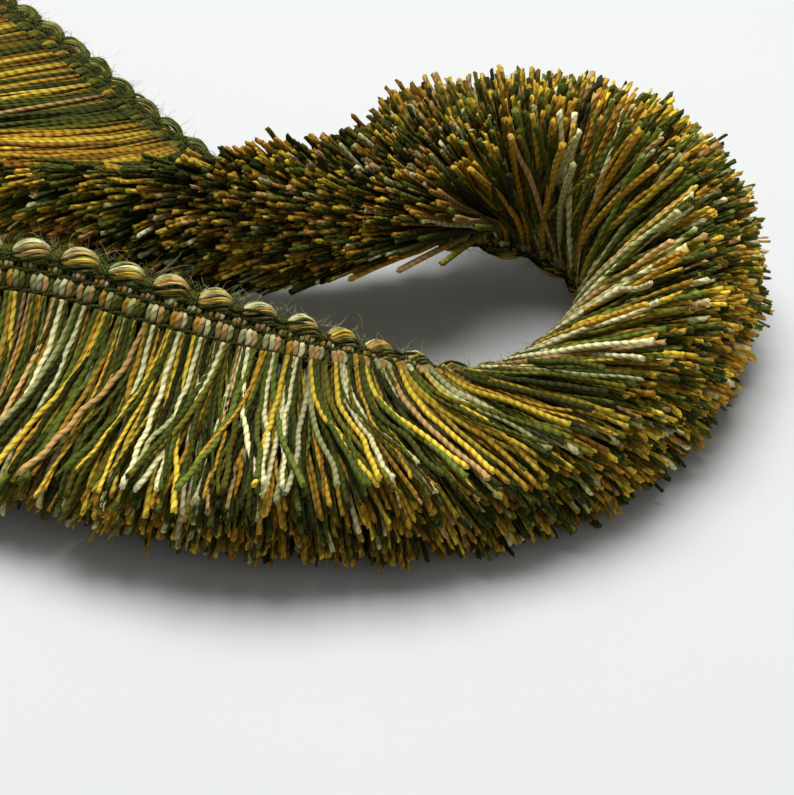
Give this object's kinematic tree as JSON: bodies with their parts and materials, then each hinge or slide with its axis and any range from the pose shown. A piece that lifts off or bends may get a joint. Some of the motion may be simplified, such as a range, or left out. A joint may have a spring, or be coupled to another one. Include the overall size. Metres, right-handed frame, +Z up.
{
  "type": "brush fringe",
  "caption": "Cut length of soft brush fringe with a woven looped-edge heading and a dense skirt of cut yarns, lying in a hairpin fold on its side.",
  "frame": {"origin": "centre of the bounding box at table level", "axes": "+Z up, +X to the right along the near arm towards the bend, +Y away from the viewer"},
  "size_m": [0.1804, 0.148, 0.0483],
  "materials": {
    "heading_weave": "matt woven cotton in dark green over green, gold and pale pink wefts",
    "edge_yarn": "matt fuzzy yarn, loops of cream, gold and sage tied down with dark green",
    "skirt_yarn": "matt two-ply cut yarn in olive, dark green, gold, mustard, cream and dusty pink"
  },
  "bodies": {
    "root": {"heading": "heading_weave", "looped_edge": "edge_yarn", "skirt_01": "skirt_yarn", "skirt_02": "skirt_yarn", "skirt_03": "skirt_yarn", "skirt_04": "skirt_yarn", "skirt_05": "skirt_yarn", "skirt_06": "skirt_yarn", "skirt_07": "skirt_yarn", "skirt_08": "skirt_yarn", "skirt_09": "skirt_yarn", "skirt_10": "skirt_yarn"}
  },
  "joints": []
}
